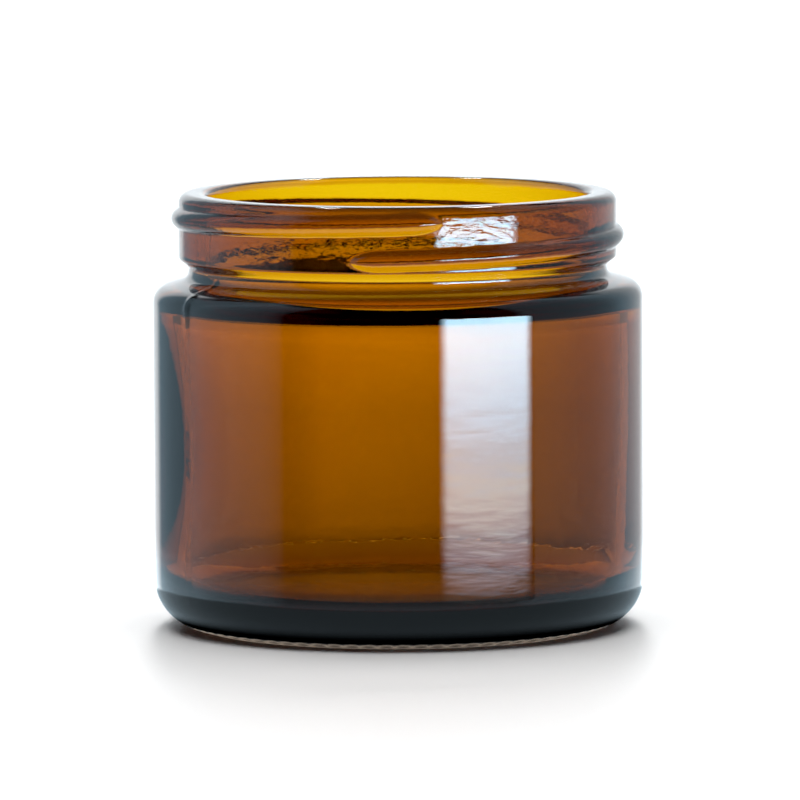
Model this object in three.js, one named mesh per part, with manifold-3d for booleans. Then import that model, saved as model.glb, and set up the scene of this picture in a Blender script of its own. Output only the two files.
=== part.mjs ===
// Wide-mouth glass jar for creams and ointments: one piece of moulded glass.
// The threaded neck ring, the shoulder, the wall and the thick base are all the same glass.
// Millimetres, +Z up. The origin is the centre of the circle that the jar stands on.
import * as THREE from 'three';
import * as BufferGeometryUtils from 'three/addons/utils/BufferGeometryUtils.js';
import Module from 'manifold-3d';

// ---- Driving dimensions (mm, degrees) ----

// Body
const TOTAL_HEIGHT = 48.0;
const BODY_DIAMETER = 54.0;
const BODY_WALL = 2.7;
const BASE_THICKNESS = 4.3;          // at the foot of the inner wall
const HEEL_RADIUS = 5.3;             // outer round between wall and base
const FLOOR_CORNER_RADIUS = 2.6;     // inner round between wall and floor
const FLOOR_CROWN = 0.5;             // the floor is this much higher at its centre

// Underside
const HEEL_INSET = 3.7;              // wall to the outer edge of the ring it stands on
const BEARING_EDGE_RADIUS = 0.5;
const BEARING_WIDTH = 2.6;
const PUSH_UP = 1.2;                 // hollow under the base, at its centre

// Shoulder
const SHOULDER_WIDTH = 2.85;         // wall to the outside of the neck ring
const SHOULDER_CORNER_RADIUS = 2.0;
const SHOULDER_SLOPE = 17;           // degrees above level, rising to the neck
const SHOULDER_GLASS = 3.3;          // foot of the neck down to the ceiling inside
const INNER_LIP_RADIUS = 2.9;        // inner round from the mouth out to the ceiling

// Neck ring (continuous-thread finish)
const NECK_WALL = 3.1;
const NECK_RING_HEIGHT = 7.2;        // rim down to the lower edge of the ring's face
const NECK_GAP = 2.0;                // that edge down to the foot of the neck
const NECK_UNDERCUT = 1.05;          // how far the neck below the ring is set in
const NECK_FILLET = 1.0;
const RING_FLANK_HEIGHT = 0.85;      // the ring's underside slopes in over this height
const RING_LOWER_RADIUS = 0.45;
const FLANK_FILLET = 0.3;
const RIM_OUTER_RADIUS = 1.1;
const RIM_INNER_RADIUS = 0.8;

// Thread: a single-start right-hand bead on the neck ring
const THREAD_PITCH = 3.9;
const THREAD_WIDTH = 2.3;
const THREAD_PROJECTION = 0.83;
const THREAD_TOP_GAP = 1.73;         // rim down to the middle of the bead at its upper end
const THREAD_FOOT_GAP = 1.32;        // middle of the bead at its lower end down to that edge
const THREAD_START_ANGLE = -102;     // lower end, anticlockwise from +X
const THREAD_TAPER_ANGLE = 9;        // each end rounds off over this angle
const THREAD_ROOT = 0.6;             // how far the bead reaches into the ring, so the two join

// Facets
const FACETS_ROUND = 60;
const THREAD_STEP_ANGLE = 6;
const THREAD_TAPER_STEPS = 4;
const THREAD_SECTION_STEPS = 6;

// ---- Radii and heights that follow from them ----

const bodyRadius = BODY_DIAMETER / 2;
const cavityRadius = bodyRadius - BODY_WALL;
const ringRadius = bodyRadius - SHOULDER_WIDTH;
const mouthRadius = ringRadius - NECK_WALL;
const neckRadius = ringRadius - NECK_UNDERCUT;
const bearingRadius = bodyRadius - HEEL_INSET;
const ringFootHeight = TOTAL_HEIGHT - NECK_RING_HEIGHT;
const neckFootHeight = ringFootHeight - NECK_GAP;
const threadRise = NECK_RING_HEIGHT - THREAD_TOP_GAP - THREAD_FOOT_GAP;

// ---- Outline helpers: x is the radius, y is the height ----

const point = (radius, height) => new THREE.Vector2(radius, height);

// Points of an arc, from one angle to the other in degrees anticlockwise from +x.
function arc(centre, radius, from, to, steps) {
  const points = [];
  for (let i = 0; i <= steps; i += 1) {
    const angle = THREE.MathUtils.degToRad(from + (to - from) * i / steps);
    const reach = point(Math.cos(angle), Math.sin(angle)).multiplyScalar(radius);
    points.push(centre.clone().add(reach));
  }
  return points;
}

// Underside, from the axis out to the ring that the jar stands on.
function undersideOutline() {
  const innerEdge = bearingRadius - BEARING_EDGE_RADIUS - BEARING_WIDTH;
  const points = [];
  const steps = 4;
  for (let i = 0; i < steps; i += 1) {
    const share = i / steps;
    points.push(point(innerEdge * share, PUSH_UP * (1 - share * share)));
  }
  points.push(point(innerEdge, 0));
  return points;
}

// Standing edge, heel and wall up to the shoulder corner. The heel's arc is tangent to the wall.
// It stops at the standing edge, before it would lie level.
function heelOutline() {
  const heelCentre = point(bodyRadius - HEEL_RADIUS, HEEL_RADIUS);
  const reach = THREE.MathUtils.clamp((bearingRadius - heelCentre.x) / HEEL_RADIUS, 0, 1);
  const startAngle = -THREE.MathUtils.radToDeg(Math.acos(reach));
  const edgeCentre = point(bearingRadius - BEARING_EDGE_RADIUS, BEARING_EDGE_RADIUS);
  const edge = arc(edgeCentre, BEARING_EDGE_RADIUS, -90, -30, 2);
  const heel = arc(heelCentre, HEEL_RADIUS, startAngle, 0, 6);
  return [...edge, ...heel];
}

// Shoulder corner, sloping shoulder and the fillet up into the neck.
function shoulderOutline() {
  const slope = THREE.MathUtils.degToRad(SHOULDER_SLOPE);
  const run = bodyRadius - SHOULDER_CORNER_RADIUS * (1 - Math.sin(slope)) - neckRadius;
  const rise = run * Math.tan(slope);
  const cornerTop = neckFootHeight - rise;
  const cornerCentre = point(
    bodyRadius - SHOULDER_CORNER_RADIUS,
    cornerTop - SHOULDER_CORNER_RADIUS * Math.cos(slope),
  );
  const corner = arc(cornerCentre, SHOULDER_CORNER_RADIUS, 0, 90 - SHOULDER_SLOPE, 5);
  const filletReach = NECK_FILLET * Math.tan((Math.PI / 2 - slope) / 2);
  const filletCentre = point(neckRadius + NECK_FILLET, neckFootHeight + filletReach);
  const fillet = arc(filletCentre, NECK_FILLET, 270 - SHOULDER_SLOPE, 180, 3);
  return [...corner, ...fillet];
}

// Neck ring: sloping underside, cylindrical face, rounded rim with its flat land, and the mouth.
// A fillet carries the neck out to the underside.
function ringOutline() {
  const flankTurn = Math.atan2(NECK_UNDERCUT, RING_FLANK_HEIGHT);
  const turnDegrees = THREE.MathUtils.radToDeg(flankTurn);
  const reach = Math.tan(flankTurn / 2);
  const filletHeight = ringFootHeight - RING_FLANK_HEIGHT - FLANK_FILLET * reach;
  const filletCentre = point(neckRadius + FLANK_FILLET, filletHeight);
  const lowerHeight = ringFootHeight + RING_LOWER_RADIUS * reach;
  const lowerCentre = point(ringRadius - RING_LOWER_RADIUS, lowerHeight);
  const outerCentre = point(ringRadius - RIM_OUTER_RADIUS, TOTAL_HEIGHT - RIM_OUTER_RADIUS);
  const innerCentre = point(mouthRadius + RIM_INNER_RADIUS, TOTAL_HEIGHT - RIM_INNER_RADIUS);
  return [
    ...arc(filletCentre, FLANK_FILLET, 180, 180 - turnDegrees, 2),
    ...arc(lowerCentre, RING_LOWER_RADIUS, -turnDegrees, 0, 2),
    ...arc(outerCentre, RIM_OUTER_RADIUS, 0, 90, 4),
    ...arc(innerCentre, RIM_INNER_RADIUS, 90, 180, 3),
  ];
}

// Inside, from the mouth down: neck, underside of the shoulder, wall and floor to the axis.
function cavityOutline() {
  const ceiling = neckFootHeight - SHOULDER_GLASS;
  const cornerRadius = cavityRadius - mouthRadius - INNER_LIP_RADIUS;
  const lipCentre = point(mouthRadius + INNER_LIP_RADIUS, ceiling + INNER_LIP_RADIUS);
  const cornerCentre = point(cavityRadius - cornerRadius, ceiling - cornerRadius);
  const floorCentre = point(cavityRadius - FLOOR_CORNER_RADIUS, BASE_THICKNESS + FLOOR_CORNER_RADIUS);
  return [
    ...arc(lipCentre, INNER_LIP_RADIUS, 180, 270, 5),
    ...arc(cornerCentre, cornerRadius, 90, 0, 2).slice(1),
    ...arc(floorCentre, FLOOR_CORNER_RADIUS, 0, -90, 5),
    point(floorCentre.x / 2, BASE_THICKNESS + FLOOR_CROWN * 3 / 4),
    point(0, BASE_THICKNESS + FLOOR_CROWN),
  ];
}

// ---- Solids ----

// The whole turned shape, on the Z axis.
function turnedGlass() {
  const outline = [
    ...undersideOutline(),
    ...heelOutline(),
    ...shoulderOutline(),
    ...ringOutline(),
    ...cavityOutline(),
  ];
  const geometry = new THREE.LatheGeometry(outline, FACETS_ROUND);
  geometry.rotateX(Math.PI / 2);
  return geometry;
}

// Section of the bead at full size, from its lower edge round the crest to its upper edge, with
// the root behind it. x is outwards from the ring's face and y is upwards.
function threadSection(size) {
  const half = THREAD_WIDTH / 2;
  const section = [point(-THREAD_ROOT, -half * size)];
  for (let i = 0; i <= THREAD_SECTION_STEPS; i += 1) {
    const angle = Math.PI * (i / THREAD_SECTION_STEPS - 0.5);
    section.push(point(THREAD_PROJECTION * size * Math.cos(angle), half * size * Math.sin(angle)));
  }
  section.push(point(-THREAD_ROOT, half * size));
  return section;
}

// How much of its full size the bead has, at an angle along it: it rounds off at both ends.
function threadSize(along, length) {
  const smallest = 0.15;
  const fromEnd = Math.min(along, length - along) / THREAD_TAPER_ANGLE;
  const share = THREE.MathUtils.clamp(fromEnd, 0, 1);
  return smallest + (1 - smallest) * Math.sqrt(share * (2 - share));
}

// Angles along the bead where its section is placed: closer together where the ends round off.
function threadStops(length) {
  const stops = [];
  const middle = length - 2 * THREAD_TAPER_ANGLE;
  const middleSteps = Math.round(middle / THREAD_STEP_ANGLE);
  for (let i = 0; i < THREAD_TAPER_STEPS; i += 1) {
    const share = i / THREAD_TAPER_STEPS;
    stops.push(THREAD_TAPER_ANGLE * share * share);
  }
  for (let i = 0; i <= middleSteps; i += 1) {
    stops.push(THREAD_TAPER_ANGLE + middle * i / middleSteps);
  }
  for (let i = THREAD_TAPER_STEPS - 1; i >= 0; i -= 1) {
    const share = i / THREAD_TAPER_STEPS;
    stops.push(length - THREAD_TAPER_ANGLE * share * share);
  }
  return stops;
}

// The helical bead, as one closed solid that reaches into the ring.
function threadBead() {
  const length = 360 * threadRise / THREAD_PITCH;
  const stops = threadStops(length);
  const positions = [];
  for (const along of stops) {
    const angle = THREE.MathUtils.degToRad(THREAD_START_ANGLE + along);
    const height = ringFootHeight + THREAD_FOOT_GAP + THREAD_PITCH * along / 360;
    for (const corner of threadSection(threadSize(along, length))) {
      const radius = ringRadius + corner.x;
      positions.push(radius * Math.cos(angle), radius * Math.sin(angle), height + corner.y);
    }
  }
  const sides = THREAD_SECTION_STEPS + 3;
  const geometry = new THREE.BufferGeometry();
  geometry.setAttribute('position', new THREE.Float32BufferAttribute(positions, 3));
  geometry.setIndex(sweptFaces(stops.length - 1, sides));
  return geometry;
}

// Triangles of a closed section with this many sides, swept through this many steps and capped.
function sweptFaces(steps, sides) {
  const faces = [];
  for (let i = 0; i < steps; i += 1) {
    for (let j = 0; j < sides; j += 1) {
      const a = i * sides + j;
      const b = i * sides + (j + 1) % sides;
      const c = a + sides;
      const d = b + sides;
      faces.push(a, c, b, b, c, d);
    }
  }
  const last = steps * sides;
  for (let j = 1; j < sides - 1; j += 1) {
    faces.push(0, j, j + 1);
    faces.push(last, last + j + 1, last + j);
  }
  return faces;
}

// ---- Joining ----

const wasm = await Module();
wasm.setup();

// A closed geometry as a solid. Vertices that share a place become one, and triangles that
// had no area, such as those on the axis, are left out.
function solidFrom(geometry) {
  const bare = geometry.clone();
  bare.deleteAttribute('normal');
  bare.deleteAttribute('uv');
  const merged = BufferGeometryUtils.mergeVertices(bare, 1e-4);
  const index = merged.getIndex().array;
  const triangles = [];
  for (let i = 0; i < index.length; i += 3) {
    const [a, b, c] = index.slice(i, i + 3);
    if (a !== b && b !== c && c !== a) {
      triangles.push(a, b, c);
    }
  }
  return new wasm.Manifold(new wasm.Mesh({
    numProp: 3,
    vertProperties: new Float32Array(merged.getAttribute('position').array),
    triVerts: new Uint32Array(triangles),
  }));
}

function geometryFrom(solid) {
  const mesh = solid.getMesh();
  const geometry = new THREE.BufferGeometry();
  geometry.setAttribute('position', new THREE.BufferAttribute(mesh.vertProperties, 3));
  geometry.setIndex(new THREE.BufferAttribute(mesh.triVerts, 1));
  geometry.computeVertexNormals();
  return geometry;
}

// ---- The jar ----

const amberGlass = new THREE.MeshStandardMaterial({
  color: 0x8a5210,
  roughness: 0.05,
  metalness: 0,
});

function jarBody() {
  const glass = solidFrom(turnedGlass()).add(solidFrom(threadBead()));
  const mesh = new THREE.Mesh(geometryFrom(glass), amberGlass);
  mesh.name = 'jar_body';
  return mesh;
}

const jar = new THREE.Group();
jar.add(jarBody());

export default jar;
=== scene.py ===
import math

import bpy
import numpy as np
from mathutils import Matrix, Vector


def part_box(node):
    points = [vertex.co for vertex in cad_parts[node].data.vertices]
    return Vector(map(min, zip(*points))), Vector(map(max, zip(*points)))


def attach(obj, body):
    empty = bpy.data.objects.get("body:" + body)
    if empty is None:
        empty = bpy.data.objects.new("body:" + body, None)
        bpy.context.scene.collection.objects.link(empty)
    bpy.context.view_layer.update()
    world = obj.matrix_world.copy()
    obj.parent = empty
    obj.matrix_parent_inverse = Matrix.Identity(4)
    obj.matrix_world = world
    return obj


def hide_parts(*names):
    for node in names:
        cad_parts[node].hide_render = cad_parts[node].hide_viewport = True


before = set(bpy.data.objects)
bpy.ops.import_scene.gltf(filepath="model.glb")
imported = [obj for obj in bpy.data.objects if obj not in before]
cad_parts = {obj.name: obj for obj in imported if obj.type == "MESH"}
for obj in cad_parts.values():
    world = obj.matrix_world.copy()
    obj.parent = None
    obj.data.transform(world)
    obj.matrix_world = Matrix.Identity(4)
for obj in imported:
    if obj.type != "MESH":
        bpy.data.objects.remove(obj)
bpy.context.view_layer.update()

MM = 0.001
COOL = (0.58, 0.83, 1.0)                    # tint of the light from the tent's sides
GREY = (0.67, 0.86, 0.98)                   # tint of the light from below
WHITE = (0.9, 0.96, 1.0)                    # tint of the light from behind

# ---- The jar's sizes in millimetres, from the CAD box and the jar's own walls and rounds ----

BOX_LOW, BOX_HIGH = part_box("jar_body")
HEIGHT = (BOX_HIGH.z - BOX_LOW.z) / MM
BODY = (BOX_HIGH.x - BOX_LOW.x) / 2 / MM    # outer radius of the body
CAVITY = BODY - 2.7                         # inner radius of the body
RING = BODY - 2.85                          # outer radius of the neck ring
MOUTH = RING - 3.1                          # inner radius of the neck
NECK = RING - 1.05                          # outer radius of the neck below the ring
BEARING = BODY - 3.7                        # radius of the edge where the heel lifts off the floor
FLAT_OUTER = BEARING - 1.0                  # outer edge of the flat that touches the floor
FLAT_INNER = BEARING - 3.1                  # inner edge of that flat
RING_FOOT = HEIGHT - 7.2                    # height of the lower edge of the ring's face
NECK_FOOT = RING_FOOT - 2.0                 # height where the shoulder meets the neck
CEILING = NECK_FOOT - 3.3                   # height of the underside of the shoulder
FLOOR = 4.3                                 # height of the inner floor at its edge
FLOOR_CROWN = 0.5                           # the floor's centre is this much higher
PUSH_UP = 1.2                               # depth of the hollow under the base
HEEL_ROUND = 5.3                            # outer round between wall and base
FLOOR_ROUND = 2.6                           # inner round between wall and floor
LIP_ROUND = 2.9                             # inner round from the mouth out to the ceiling
SHOULDER_ROUND = 2.0                        # between the wall and the shoulder
SHOULDER_SLOPE = math.radians(17)
NECK_FILLET = 1.0                           # between the shoulder and the neck
RING_FLANK = 0.85                           # height of the ring's sloping underside
RING_ROUND = 0.45                           # along the ring's lower edge
FLANK_FILLET = 0.3                          # between the neck and that underside
RIM_OUTER = 1.1                             # round between the ring's face and the rim
RIM_INNER = 0.8                             # round between the rim and the mouth

THREAD_PITCH = 3.9
THREAD_HALF = 1.15                          # half the width of the bead
THREAD_PROUD = 0.83
THREAD_START = -102.0                       # degrees anticlockwise from +X, lower end
THREAD_FOOT = RING_FOOT + 1.32              # height of the bead's middle at its lower end
THREAD_RISE = HEIGHT - 1.73 - THREAD_FOOT
THREAD_LENGTH = 360 * THREAD_RISE / THREAD_PITCH
THREAD_TAPER = 8.0                          # degrees over which each end rounds off

SEAM_ANGLE = -148.6                         # degrees anticlockwise from +X, one mould seam
SEAM_PROUD = 0.05
SEAM_HALF = 0.12
SEAM_FLARE_FOOT = 33.2                      # the seams grow from this height up to the shoulder
SEAM_FLARE_RUN = 3.6
SEAM_FLARE_PROUD = 0.2                      # added to the seams' height at the shoulder
SEAM_FLARE_HALF = 0.35                      # added to their half width there

STIPPLES = 78                               # crescents round that edge of the heel
STIPPLE_DEPTH = 0.36
STIPPLE_HALF = 0.45
WAVE_DEPTH = 0.06                           # unevenness of the blown inside
THICK_SIDE = 0.9                            # extra glass at -X, half way up
SHOULDER_LEAN = 0.22                        # rise of the shoulder at +X, and its fall at -X
RIPPLE_DEPTH = 0.010                        # fine ripples over all of the wall
HAMMER_DEPTH = 0.024                        # rough skin of the neck ring

COLUMNS = 432                               # points round the jar in each row


# ---- Outline of the glass, as (radius, height) points ----

def arc(x, y, radius, start, end, steps):
    """Points along an arc, from one angle to the other, in degrees anticlockwise from +x."""
    angles = np.radians(np.linspace(start, end, steps + 1))
    return [(x + radius * math.cos(a), y + radius * math.sin(a)) for a in angles]


def line(a, b, steps):
    """Points from a to b, without either end."""
    shares = np.linspace(0, 1, steps + 1)[1:-1]
    return [(a[0] + (b[0] - a[0]) * s, a[1] + (b[1] - a[1]) * s) for s in shares]


def joined(*stretches):
    """One run of points: each stretch is a list of points, or a number of steps across a gap."""
    points = []
    for i, stretch in enumerate(stretches):
        if isinstance(stretch, int):
            points += line(points[-1], stretches[i + 1][0], stretch)
        else:
            points += stretch
    return points


def underside():
    """The hollow under the base, from near its centre out to the flat."""
    shares = np.linspace(0.02, 1, 12)
    return [(FLAT_INNER * s, PUSH_UP * (1 - s * s)) for s in shares]


def heel():
    """From the flat round to the foot of the wall."""
    centre = (BODY - HEEL_ROUND, HEEL_ROUND)
    return joined([(FLAT_OUTER, 0.0)], 3, arc(*centre, HEEL_ROUND, -80, 0, 15))


def shoulder():
    """From the top of the wall in to the neck."""
    run = BODY - SHOULDER_ROUND * (1 - math.sin(SHOULDER_SLOPE)) - NECK
    top = NECK_FOOT - run * math.tan(SHOULDER_SLOPE)
    drop = SHOULDER_ROUND * math.cos(SHOULDER_SLOPE)
    reach = NECK_FILLET * math.tan((math.pi / 2 - SHOULDER_SLOPE) / 2)
    slope = math.degrees(SHOULDER_SLOPE)
    return joined(
        arc(BODY - SHOULDER_ROUND, top - drop, SHOULDER_ROUND, 0, 90 - slope, 12),
        4,
        arc(NECK + NECK_FILLET, NECK_FOOT + reach, NECK_FILLET, 270 - slope, 180, 6),
    )


def ring():
    """From the neck under the ring, up its face and over the rim into the mouth."""
    tilt = math.atan2(RING_FLANK, RING - NECK)
    turn = 90 - math.degrees(tilt)
    rise = math.tan(math.radians(turn) / 2)
    flank_low = RING_FOOT - RING_FLANK - FLANK_FILLET * rise
    return joined(
        arc(NECK + FLANK_FILLET, flank_low, FLANK_FILLET, 180, 180 - turn, 4),
        4,
        arc(RING - RING_ROUND, RING_FOOT + RING_ROUND * rise, RING_ROUND, -turn, 0, 6),
        50,
        arc(RING - RIM_OUTER, HEIGHT - RIM_OUTER, RIM_OUTER, 0, 90, 9),
        3,
        arc(MOUTH + RIM_INNER, HEIGHT - RIM_INNER, RIM_INNER, 90, 180, 6),
    )


def cavity():
    """From the foot of the mouth out to the wall, and down it to the centre of the floor."""
    corner = CAVITY - MOUTH - LIP_ROUND
    floor_x = CAVITY - FLOOR_ROUND
    floor = [(floor_x * s, FLOOR + FLOOR_CROWN * (1 - s * s)) for s in np.linspace(1, 0.02, 10)]
    return joined(
        arc(MOUTH + LIP_ROUND, CEILING + LIP_ROUND, LIP_ROUND, 180, 270, 12),
        arc(CAVITY - corner, CEILING - corner, corner, 90, 0, 4)[1:],
        16,
        arc(floor_x, FLOOR + FLOOR_ROUND, FLOOR_ROUND, 0, -90, 9),
        floor[1:],
    )


# ---- Shape of the glass over the outline ----

def thread_height(angle, height):
    """How far the thread stands out of the ring's face, at angles in degrees and heights in mm."""
    out = np.zeros(np.broadcast(angle, height).shape)
    for turn in (0, 360):
        along = (angle - THREAD_START) % 360 + turn
        middle = THREAD_FOOT + THREAD_PITCH * along / 360
        from_end = np.clip(np.minimum(along, THREAD_LENGTH - along) / THREAD_TAPER, 0, 1)
        size = np.sqrt(from_end * (2 - from_end))
        reach = np.abs(height - middle) / (THREAD_HALF * np.maximum(size, 0.05))
        bead = THREAD_PROUD * size * np.clip(1 - reach ** 2, 0, 1) ** 0.8
        out = np.maximum(out, bead)
    return out


def seam_height(angle, height, radius):
    """How far the two mould seams stand out; they flare where they cross the shoulder."""
    off = (angle - SEAM_ANGLE + 90) % 180 - 90
    distance = np.radians(off) * radius
    growing = np.clip((height - SEAM_FLARE_FOOT) / SEAM_FLARE_RUN, 0, 1)
    flare = growing * np.clip((NECK_FOOT + 0.5 - height) / 0.8, 0, 1)
    half = SEAM_HALF + SEAM_FLARE_HALF * flare
    return (SEAM_PROUD + SEAM_FLARE_PROUD * flare) * np.exp(-(distance / half) ** 2)


def waves(rng, angle, height, rounds, pitch, count):
    """A smooth random surface, periodic round the axis: sines of whole turns and random phase."""
    out = np.zeros(np.broadcast(angle, height).shape)
    for _ in range(count):
        turns = rng.integers(rounds[0], rounds[1] + 1)
        length = rng.uniform(*pitch)
        phase = rng.uniform(0, 2 * math.pi, 2)
        out += np.sin(np.radians(angle) * turns + phase[0]) * np.sin(
            height * 2 * math.pi / length + phase[1]
        )
    return out / math.sqrt(count)


def whole_outline():
    """The closed outline from under the base to the inner floor, and its first inner row."""
    base, foot, top, neck, inside = underside(), heel(), shoulder(), ring(), cavity()
    wall = line(foot[-1], top[0], 30)
    outer = base + foot + wall + top + neck
    mouth = line(outer[-1], inside[0], 12)
    return np.array(outer + mouth + inside), len(outer)


def glass_surface():
    """Radius and height of each point of the glass, as one row per outline point."""
    rng = np.random.default_rng(7)
    outline, first_inner = whole_outline()
    angle = np.linspace(-180, 180, COLUMNS, endpoint=False)[None, :]
    radius = np.repeat(outline[:, 0:1], COLUMNS, 1)
    height = np.repeat(outline[:, 1:2], COLUMNS, 1)
    outer = np.arange(len(outline))[:, None] < first_inner
    # thread on the neck ring
    on_ring = outer & (height > RING_FOOT + 0.2) & (radius > RING - 1.2)
    radius += np.where(on_ring, thread_height(angle, height), 0)
    # mould seams on the outside, fading out at the heel and the rim
    fade = np.clip((height - 2) / 3, 0, 1) * np.clip(HEIGHT - 1 - height, 0, 1)
    radius += np.where(outer, seam_height(angle, height, radius) * fade, 0)
    # the blown inside is never quite true
    inside = (~outer) & (radius > 5)
    wavy = waves(rng, angle, height, (1, 5), (24, 60), 8) * WAVE_DEPTH
    radius += np.where(inside, wavy * np.clip((HEIGHT - 1.5 - height) / 4, 0, 1), 0)
    # thicker glass half way up one side
    side = np.exp(-((angle % 360 - 180) / 24) ** 2) * np.exp(-((height - 20) / 11) ** 2)
    radius -= np.where(inside & (radius > CAVITY - 2), THICK_SIDE * side, 0)
    # a shoulder that leans with the parting of the mould
    near_shoulder = np.exp(-((height - NECK_FOOT + 1) / 2.2) ** 2)
    height = height + SHOULDER_LEAN * near_shoulder * np.cos(np.radians(angle)) * radius / BODY
    # ring of crescents where the heel lifts off the floor
    crescent = np.clip(np.sin(np.radians(angle) * STIPPLES + 0.6 * height), 0, 1) ** 0.7
    at_edge = np.exp(-((radius - BEARING + 0.1) / STIPPLE_HALF) ** 2) * outer * (height < 1.2)
    height = height + STIPPLE_DEPTH * at_edge * (1 - crescent)
    return angle, radius, height


def glass_mesh():
    """One closed mesh: a ring of quads between each two rows, and a fan at each end."""
    angle, radius, height = glass_surface()
    x = radius * np.cos(np.radians(angle)) * MM
    y = radius * np.sin(np.radians(angle)) * MM
    z = height * MM
    points = np.stack([x, y, z], -1).reshape(-1, 3)
    bottom = len(points)
    top = bottom + 1
    points = np.vstack([points, [0, 0, PUSH_UP * MM], [0, 0, (FLOOR + FLOOR_CROWN) * MM]])
    rows = len(radius)
    column = np.arange(COLUMNS)
    after = (column + 1) % COLUMNS
    faces = []
    for row in range(rows - 1):
        a = row * COLUMNS
        b = a + COLUMNS
        faces += np.stack([a + column, a + after, b + after, b + column], -1).tolist()
    last = (rows - 1) * COLUMNS
    faces += [[bottom, int(j), int(i)] for i, j in zip(column, after)]
    faces += [[top, int(last + i), int(last + j)] for i, j in zip(column, after)]
    mesh = bpy.data.meshes.new("amber_jar")
    mesh.from_pydata(points.tolist(), [], faces)
    mesh.update()
    mesh.shade_smooth()
    return mesh


# ---- Objects and nodes ----

def add_object(name, data):
    """Puts a new object into the scene."""
    thing = bpy.data.objects.new(name, data)
    bpy.context.scene.collection.objects.link(thing)
    return thing


def add_mesh(name, corners, faces):
    """Puts a new mesh object into the scene."""
    mesh = bpy.data.meshes.new(name)
    mesh.from_pydata(corners, [], faces)
    return add_object(name, mesh)


def seen_by(thing, camera=False, diffuse=False, glossy=False, transmission=False, shadow=False):
    """Chooses the kinds of ray that meet an object."""
    thing.visible_camera = camera
    thing.visible_diffuse = diffuse
    thing.visible_glossy = glossy
    thing.visible_transmission = transmission
    thing.visible_shadow = shadow


def circle(radius, sides):
    """Points at even steps round the axis, at the height of the floor."""
    angles = np.radians(np.arange(sides) * 360 / sides)
    return [(radius * math.cos(a), radius * math.sin(a), 0.0) for a in angles]


def new_material(name):
    """A new material, with its node tree and its shader."""
    material = bpy.data.materials.new(name)
    material.use_nodes = True
    tree = material.node_tree
    return material, tree, tree.nodes["Principled BSDF"]


def glow_material(name):
    """A new material that only glows, with its node tree and its shader."""
    material, tree, shader = new_material(name)
    tree.nodes.remove(shader)
    return material, tree, tree.nodes.new("ShaderNodeEmission")


def coordinates(tree, kind):
    """Texture coordinates of one kind."""
    return tree.nodes.new("ShaderNodeTexCoord").outputs[kind]


def parts_of(tree, vector):
    """The x, y and z of a vector."""
    node = tree.nodes.new("ShaderNodeSeparateXYZ")
    tree.links.new(vector, node.inputs[0])
    return node.outputs


def length_of(tree, vector):
    """The length of a vector."""
    node = tree.nodes.new("ShaderNodeVectorMath")
    node.operation = "LENGTH"
    tree.links.new(vector, node.inputs[0])
    return node.outputs["Value"]


def arithmetic(tree, kind, *values):
    """A Math node: each value is a number or another node's output."""
    node = tree.nodes.new("ShaderNodeMath")
    node.operation = kind
    for slot, value in enumerate(values):
        if isinstance(value, (int, float)):
            node.inputs[slot].default_value = value
        else:
            tree.links.new(value, node.inputs[slot])
    return node.outputs[0]


def between(tree, value, low, high):
    """0 up to low and 1 from high on, smooth between, or the mirror of that when low is larger."""
    node = tree.nodes.new("ShaderNodeMapRange")
    node.interpolation_type = "SMOOTHSTEP"
    node.inputs["From Min"].default_value = low
    node.inputs["From Max"].default_value = high
    tree.links.new(value, node.inputs["Value"])
    return node.outputs[0]


def blended(tree, factor, a, b):
    """A colour mix: a and b are each a colour or another node's output."""
    node = tree.nodes.new("ShaderNodeMix")
    node.data_type = "RGBA"
    tree.links.new(factor, node.inputs["Factor"])
    for slot, value in (("A", a), ("B", b)):
        if isinstance(value, tuple):
            node.inputs[slot].default_value = (*value, 1)
        else:
            tree.links.new(value, node.inputs[slot])
    return node.outputs["Result"]


def ramp(tree, share, low, high, stops):
    """A colour ramp over a share from 0 to 1: each stop is a place from low to high and a colour."""
    node = tree.nodes.new("ShaderNodeValToRGB")
    tree.links.new(share, node.inputs[0])
    elements = node.color_ramp.elements
    placed = [((place - low) / (high - low), (*colour, 1)) for place, colour in stops]
    elements[0].position, elements[0].color = placed[0]
    elements[1].position, elements[1].color = placed[-1]
    for position, colour in placed[1:-1]:
        elements.new(position).color = colour
    return node.outputs["Color"]


def noise(tree, where, stretch, detail):
    """Noise from 0 to 1 over a position, stretched along each axis."""
    mapping = tree.nodes.new("ShaderNodeMapping")
    mapping.inputs["Scale"].default_value = stretch
    tree.links.new(where, mapping.inputs["Vector"])
    node = tree.nodes.new("ShaderNodeTexNoise")
    node.inputs["Scale"].default_value = 1.0
    node.inputs["Detail"].default_value = detail
    tree.links.new(mapping.outputs["Vector"], node.inputs["Vector"])
    return node.outputs["Fac"]


# ---- Materials ----

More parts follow.
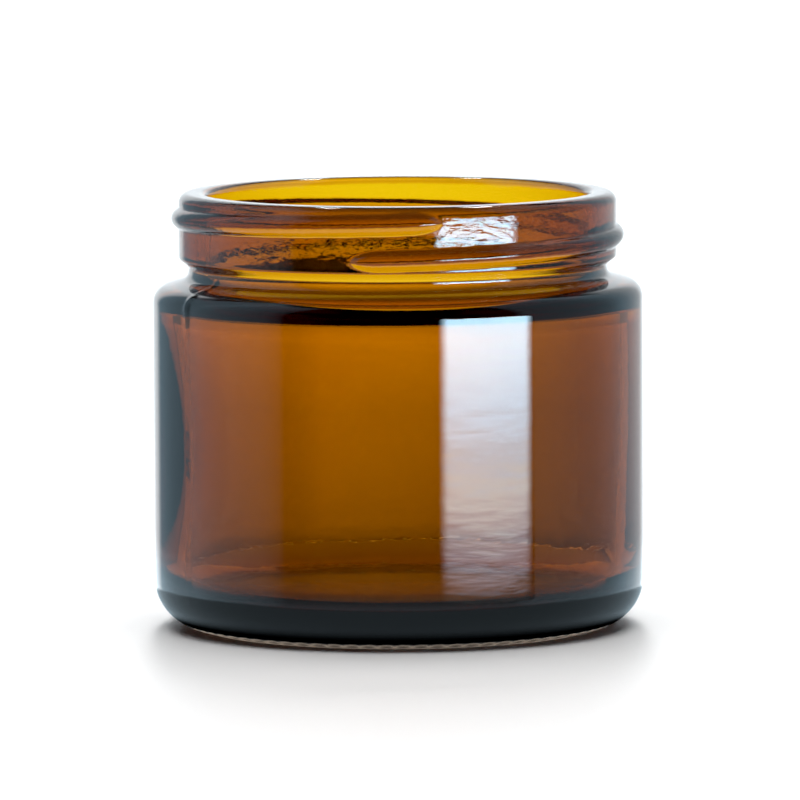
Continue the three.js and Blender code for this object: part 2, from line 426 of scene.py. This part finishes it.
def amber_glass():
    """Clear amber glass: all of its colour comes from the depth of glass that light crosses."""
    material, tree, glass = new_material("amber_glass")
    glass.inputs["Base Color"].default_value = (1, 1, 1, 1)
    glass.inputs["Transmission Weight"].default_value = 1.0
    glass.inputs["Roughness"].default_value = 0.0
    glass.inputs["IOR"].default_value = 1.52
    absorption = tree.nodes.new("ShaderNodeVolumeAbsorption")
    absorption.inputs["Color"].default_value = (0.89, 0.78, 0.0, 1)
    absorption.inputs["Density"].default_value = 2000.0
    tree.links.new(absorption.outputs["Volume"], tree.nodes["Material Output"].inputs["Volume"])
    # ripples all over the wall, and a hammered skin on the neck ring
    where = coordinates(tree, "Object")
    ripples = noise(tree, where, (260, 260, 900), 2.0)
    hammered = noise(tree, where, (900, 900, 1500), 3.0)
    height = parts_of(tree, where)["Z"]
    on_ring = between(tree, height, (RING_FOOT + 0.5) * MM, (RING_FOOT + 1.5) * MM)
    rough = arithmetic(tree, "MULTIPLY", hammered, on_ring)
    relief = arithmetic(
        tree, "ADD",
        arithmetic(tree, "MULTIPLY", ripples, RIPPLE_DEPTH * MM),
        arithmetic(tree, "MULTIPLY", rough, HAMMER_DEPTH * MM),
    )
    bump = tree.nodes.new("ShaderNodeBump")
    bump.inputs["Strength"].default_value = 1.0
    bump.inputs["Distance"].default_value = 1.0
    tree.links.new(relief, bump.inputs["Height"])
    tree.links.new(bump.outputs["Normal"], glass.inputs["Normal"])
    return material


def floor_material():
    """A pale floor that glows more with distance, so it stays white past the reach of the lamps."""
    material, tree, shader = new_material("pale_floor")
    shader.inputs["Base Color"].default_value = (0.92, 0.92, 0.92, 1)
    shader.inputs["Roughness"].default_value = 0.5
    distance = length_of(tree, coordinates(tree, "Object"))
    glow = between(tree, distance, 0.15, 0.8)
    far_glow = between(tree, distance, 0.6, 2.4)
    both = arithmetic(tree, "MULTIPLY_ADD", far_glow, 1.2, glow)
    shader.inputs["Emission Color"].default_value = (1, 1, 1, 1)
    tree.links.new(arithmetic(tree, "MULTIPLY", both, 0.45), shader.inputs["Emission Strength"])
    return material


# ---- Studio ----

def grey(level, green=1.0):
    """A neutral colour, or one with more green."""
    return (level, level * green, level)


def world_light():
    """A tent round the jar: black in front, cool white at the sides, brightest behind."""
    world = bpy.data.worlds.new("studio")
    bpy.context.scene.world = world
    world.use_nodes = True
    world.cycles_visibility.diffuse = False
    tree = world.node_tree
    x, y, z = parts_of(tree, coordinates(tree, "Generated"))
    # 0 is behind on the left, a quarter is the left side, a half the front, three quarters the right
    turn = arithmetic(tree, "ARCTAN2", x, arithmetic(tree, "MULTIPLY", y, -1.0))
    share = arithmetic(tree, "MULTIPLY_ADD", turn, 0.5 / math.pi, 0.5)

    def over_elevation(low, high):
        return between(tree, z, math.sin(math.radians(low)), math.sin(math.radians(high)))

    def tent(side_tint, levels):
        """A ramp round the jar; the levels within 25 degrees of straight behind are white."""
        stops = []
        for azimuth, level in levels:
            tint = WHITE if abs(azimuth) > 155 else side_tint
            stops.append((azimuth, tuple(level * part for part in tint)))
        return ramp(tree, share, -180, 180, stops)

    above = tent(COOL, (
        (-180, 1.45), (-158, 1.4), (-151, 0.62), (-133, 0.68), (-120, 0.8), (-112, 1.0), (-96, 0.8),
        (-80, 0.64), (-66, 0.45), (-58, 0.2), (-55, 0.0),
        (56, 0.0), (62, 0.42), (78, 0.5), (104, 0.55), (118, 0.66), (131, 0.9), (158, 0.95),
        (166, 1.4), (180, 1.45),
    ))
    below = tent(GREY, (
        (-180, 0.9), (-120, 0.7), (-60, 0.42), (60, 0.42), (120, 0.6), (180, 0.9),
    ))
    colour = blended(tree, over_elevation(-30, -5), below, above)
    # dark overhead, and from lower down behind the jar
    from_front = arithmetic(tree, "ABSOLUTE", arithmetic(tree, "SUBTRACT", share, 0.5))
    behind = arithmetic(tree, "GREATER_THAN", from_front, 0.39)
    high_behind = arithmetic(tree, "MULTIPLY", behind, over_elevation(30, 42))
    colour = blended(tree, high_behind, colour, grey(0.04))
    colour = blended(tree, over_elevation(58, 66), colour, grey(0.02))
    tree.links.new(colour, tree.nodes["Background"].inputs["Color"])


def card(name, corners, low, high, stops, side_fade, strength):
    """A glowing card: its colour runs up it, from low to high, and fades towards its upright edges."""
    panel = add_mesh(name, corners, [(0, 1, 2, 3)])
    panel.data.uv_layers.new(name="card").data.foreach_set("uv", (0, 0, 1, 0, 1, 1, 0, 1))
    material, tree, glow = glow_material(name + "_glow")
    across, up, _ = parts_of(tree, coordinates(tree, "UV"))
    tree.links.new(ramp(tree, up, low, high, stops), glow.inputs["Color"])
    left = between(tree, across, 0, side_fade)
    right = between(tree, across, 1, 1 - side_fade)
    both = arithmetic(tree, "MULTIPLY", left, right)
    tree.links.new(arithmetic(tree, "MULTIPLY", both, strength), glow.inputs["Strength"])
    tree.links.new(glow.outputs[0], tree.nodes["Material Output"].inputs["Surface"])
    panel.data.materials.append(material)
    return panel


def upright(left, right, low, high):
    """The corners of an upright card, from its two ends in plan and its lowest and highest height."""
    corners = ((*left, low), (*right, low), (*right, high), (*left, high))
    return [(x * MM, y * MM, z * MM) for x, y, z in corners]


def softbox():
    """A low softbox to the front right, mirrored in the wall as one tall bright patch."""
    low, high = -34.0, 30.2
    corners = upright((82.8, -264.0), (245.0, -122.8), low, high)
    panel = card("softbox", corners, low, high, (
        (low, (0.0, 0.0, 0.0)),
        (-24, (0.02, 0.02, 0.02)),
        (-17, (0.143, 0.157, 0.196)),
        (-11, (0.30, 0.33, 0.357)),
        (-7.7, (0.36, 0.41, 0.42)),
        (-4, (0.293, 0.379, 0.45)),
        (3.4, (0.407, 0.586, 0.729)),
        (11.5, (0.529, 0.75, 0.893)),
        (17, (0.529, 0.814, 0.993)),
        (high, (0.529, 0.814, 0.993)),
    ), 0.13, 24.5)
    seen_by(panel, glossy=True)


def sparkle(name, direction, width, strength):
    """A small lamp high up behind, seen only as a short glint on the beads and edges."""
    distance, height = 0.5, 0.04
    centre = Vector(direction).normalized() * distance
    across = centre.cross(Vector((0, 0, 1))).normalized() * width / 2
    up = across.cross(centre).normalized() * height / 2
    corners = [tuple(centre + i * across + j * up) for i, j in ((-1, -1), (1, -1), (1, 1), (-1, 1))]
    panel = card(name, corners, 0, 1, ((0, grey(1.0)), (1, grey(1.0))), 0.1, strength)
    seen_by(panel, glossy=True)


def painted_floor_reflection():
    """What the heel mirrors, as a glowing disc of painted reflection: a warm disc of painted light
    under the jar, a dark gap of painted contact shadow, cool grey painted shade, then nothing.
    """
    material, tree, glow = glow_material("painted_floor_reflection_glow")
    where = coordinates(tree, "Object")
    distance = length_of(tree, where)
    # painted light in a warm disc under the jar, then a gap of painted contact shadow, then cool grey
    # painted shade that fades out
    contact = between(tree, distance, 23.6 * MM, 23.0 * MM)
    past_gap = between(tree, distance, 24.6 * MM, 27.2 * MM)
    fading = between(tree, distance, 105 * MM, 45 * MM)
    # painted light: the grey is more than twice as bright behind the jar as in front of it
    behind = arithmetic(tree, "DIVIDE", parts_of(tree, where)["Y"], distance)
    share = arithmetic(tree, "MULTIPLY_ADD", behind, 0.5, 0.5)
    squared = arithmetic(tree, "MULTIPLY", share, share)
    side = arithmetic(tree, "MULTIPLY_ADD", squared, 0.6, 0.43)
    around = arithmetic(tree, "MULTIPLY", arithmetic(tree, "MULTIPLY", past_gap, fading), side)
    tree.links.new(blended(tree, contact, GREY, (1.0, 0.82, 0.66)), glow.inputs["Color"])
    tree.links.new(arithmetic(tree, "MULTIPLY_ADD", contact, 0.5, around), glow.inputs["Strength"])
    # painted shade: it hides the light from below near the jar, and lets it through further out
    clear = tree.nodes.new("ShaderNodeBsdfTransparent")
    tree.links.new(between(tree, distance, 40 * MM, 46 * MM), clear.inputs["Color"])
    both = tree.nodes.new("ShaderNodeAddShader")
    tree.links.new(glow.outputs[0], both.inputs[0])
    tree.links.new(clear.outputs[0], both.inputs[1])
    tree.links.new(both.outputs[0], tree.nodes["Material Output"].inputs["Surface"])
    corners = circle(140 * MM, 72)
    disc = add_mesh("painted_floor_reflection", corners, [list(range(len(corners)))])
    disc.location = (0, 0, -0.2 * MM)
    disc.data.materials.append(material)
    seen_by(disc, glossy=True)


def painted_light_backdrop():
    """The white card behind the jar that its glass is seen against, glowing with painted light and
    shade: darker towards the floor, dimmer towards the right.
    """
    half, low, high, place = 70.0, 0.3, 90.0, 60.0
    corners = upright((-half, place), (half, place), low, high)
    # painted shade low down near the floor, painted light higher up, and a greener band from 39.5 to
    # 48 mm
    panel = card("painted_light_backdrop", corners, low, high, (
        (low, grey(0.15)),
        (2, grey(0.25)),
        (4, grey(0.38)),
        (8, grey(0.44)),
        (14, grey(0.535)),
        (18, grey(0.57)),
        (22, grey(0.70)),
        (25, grey(0.80)),
        (26.5, grey(0.88)),
        (29, grey(0.88)),
        (31, grey(0.75)),
        (36, grey(0.70)),
        (39.5, grey(0.80, 1.1)),
        (41.5, grey(0.90, 1.3)),
        (48, grey(0.90, 1.3)),
        (52, grey(0.78)),
        (high, grey(0.78)),
    ), 0.02, 2.0)
    seen_by(panel, transmission=True)
    # painted light: up to the shoulder its strength also changes from left to right
    tree = panel.data.materials[0].node_tree
    strength = tree.nodes["Emission"].inputs["Strength"]
    before = strength.links[0].from_socket
    across, up, _ = parts_of(tree, coordinates(tree, "UV"))
    levels = (
        (-half, 0.85), (-14, 0.84), (-10.5, 1.0), (-3, 1.0), (3, 0.95),
        (12, 0.75), (18, 0.60), (30, 0.50), (half, 0.55),
    )
    level = ramp(tree, across, -half, half, [(x, grey(value)) for x, value in levels])
    low_down = between(tree, up, (38 - low) / (high - low), (30 - low) / (high - low))
    share = blended(tree, low_down, grey(1.0), level)
    tree.links.new(arithmetic(tree, "MULTIPLY", before, share), strength)


def painted_shadow_card():
    """A card of painted shadow lying behind the jar, dimmer than the floor and seen only through the
    glass: the corner round its inner floor is seen against it.
    """
    near, far, half, place = 0.0235, 0.0595, 0.045, 0.0001
    corners = [(-half, near, place), (half, near, place), (half, far, place), (-half, far, place)]
    panel = card("painted_shadow_card", corners, 0, 1, ((0, grey(0.5)), (1, grey(0.5))), 0.1, 1.0)
    seen_by(panel, transmission=True)


def floor():
    """A square of pale floor, much wider than any view of the jar."""
    half = 6.0
    corners = [(-half, -half, 0), (half, -half, 0), (half, half, 0), (-half, half, 0)]
    plane = add_mesh("floor", corners, [(0, 1, 2, 3)])
    plane.data.materials.append(floor_material())
    seen_by(plane, camera=True, diffuse=True, transmission=True, shadow=True)


def surround():
    """A white wall and roof round the floor, which only the camera sees, in place of the tent."""
    radius, top, sides = 3.0, 4.0, 48
    ground = circle(radius, sides)
    corners = ground + [(x, y, top) for x, y, _ in ground] + [(0.0, 0.0, top)]
    faces = []
    for i in range(sides):
        j = (i + 1) % sides
        faces += [(i, i + sides, j + sides, j), (i + sides, 2 * sides, j + sides)]
    wall = add_mesh("surround", corners, faces)
    material, _, shader = new_material("white_surround")
    shader.inputs["Base Color"].default_value = (0, 0, 0, 1)
    shader.inputs["Emission Color"].default_value = (1, 1, 1, 1)
    shader.inputs["Emission Strength"].default_value = 1.0
    wall.data.materials.append(material)
    seen_by(wall, camera=True)


def area_light(name, place, size, power):
    """A rectangular lamp aimed at the foot of the jar, which lights only the floor."""
    light = bpy.data.lights.new(name, "AREA")
    light.shape = "RECTANGLE"
    light.size, light.size_y = size
    light.energy = power
    lamp = add_object(name, light)
    lamp.location = place
    lamp.rotation_euler = (-Vector(place)).to_track_quat("-Z", "Y").to_euler()
    seen_by(lamp, diffuse=True, shadow=True)


def camera():
    """A long lens a metre away, a little above the rim, rolled a fraction of a degree."""
    distance = 1.0
    elevation = math.radians(5.67)
    roll = math.radians(0.28)
    aim = Vector((0.00018, 0.0, 0.02487))
    back = Vector((0, -math.cos(elevation), math.sin(elevation)))
    data = bpy.data.cameras.new("camera")
    data.lens = 407.6
    data.sensor_width = 36.0
    data.clip_start, data.clip_end = 0.05, 20
    cam = add_object("camera", data)
    cam.location = aim + back * distance
    turn = (-back).to_track_quat("-Z", "Y").to_matrix().to_4x4()
    cam.rotation_euler = (turn @ Matrix.Rotation(-roll, 4, "Z")).to_euler()
    bpy.context.scene.camera = cam


# ---- Build ----

camera()
jar = add_object("glass_jar", glass_mesh())
jar.data.materials.append(amber_glass())
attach(jar, "root")
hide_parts("jar_body")

floor()
surround()
world_light()
softbox()
painted_floor_reflection()
painted_light_backdrop()
painted_shadow_card()
sparkle("left_glint", (-0.15, 0.52, 0.84), 0.02, 60.0)
sparkle("right_glint", (0.174, 0.53, 0.83), 0.035, 60.0)
area_light("overhead", (0, 0, 1.6), (1.6, 1.6), 32.5)
area_light("back_strip", (0, 1.4, 1.2), (0.22, 1.2), 17.5)
bpy.context.scene.view_settings.view_transform = "Standard"
